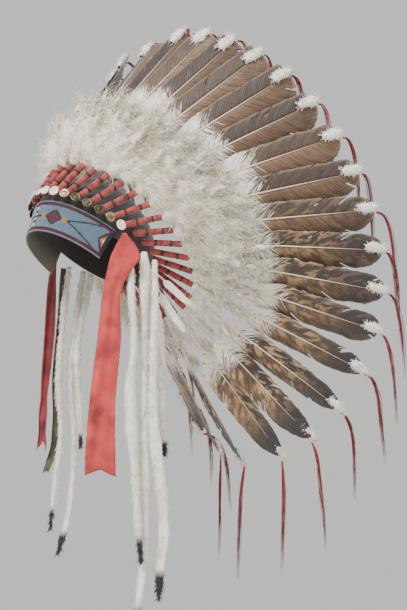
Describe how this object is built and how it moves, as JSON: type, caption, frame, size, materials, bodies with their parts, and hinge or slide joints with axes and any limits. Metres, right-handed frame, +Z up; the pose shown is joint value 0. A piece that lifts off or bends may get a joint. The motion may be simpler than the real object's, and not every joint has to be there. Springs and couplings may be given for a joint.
{
  "type": "feathered headdress",
  "caption": "Flared feather war bonnet with red wrapped quills, white down, beaded brow band, buttons, red ribbons and hanging white fur strips, kept in its worn shape.",
  "frame": {"origin": "where the top of the cap's hollow sits on the head, its highest inside point", "axes": "+Z up as worn, -Y the way the wearer faces, +X the wearer's left"},
  "size_m": [0.6128, 0.5485, 0.9596],
  "materials": {
    "felt": "matt dark felt",
    "glass_beads": "small opaque glass beads, glossy",
    "feather": "grey-brown feather vane, soft sheen",
    "shell": "polished white shell and dull brass",
    "red_cloth": "coral red cloth",
    "dark_cloth": "dark olive ribbon",
    "white_fur": "short cream-white fur",
    "pale_feather": "tan and cream small feathers"
  },
  "bodies": {
    "root": {"brow_band": "glass_beads", "buttons": "shell", "cap": "felt", "drop_feather_1": "pale_feather", "drop_feather_2": "pale_feather", "drop_feather_3": "pale_feather", "ermine_left_1": "white_fur", "ermine_left_2": "white_fur", "ermine_left_3": "white_fur", "ermine_left_4": "white_fur", "ermine_right_1": "white_fur", "ermine_right_2": "white_fur", "ermine_right_3": "white_fur", "feather_brow": "feather", "feather_left_01": "feather", "feather_left_02": "feather", "feather_left_03": "feather", "feather_left_04": "feather", "feather_left_05": "feather", "feather_left_06": "feather", "feather_left_07": "feather", "feather_left_08": "feather", "feather_left_09": "feather", "feather_left_10": "feather", "feather_left_11": "feather", "feather_left_12": "feather", "feather_left_13": "feather", "feather_left_14": "feather", "feather_left_15": "feather", "feather_left_16": "feather", "feather_right_01": "feather", "feather_right_02": "feather", "feather_right_03": "feather", "feather_right_04": "feather", "feather_right_05": "feather", "feather_right_06": "feather", "feather_right_07": "feather", "feather_right_08": "feather", "feather_right_09": "feather", "feather_right_10": "feather", "feather_right_11": "feather", "feather_right_12": "feather", "feather_right_13": "feather", "feather_right_14": "feather", "feather_right_15": "feather", "feather_right_16": "feather", "ribbon_left": "red_cloth", "ribbon_right": "red_cloth", "ribbon_right_dark": "dark_cloth"}
  },
  "joints": []
}
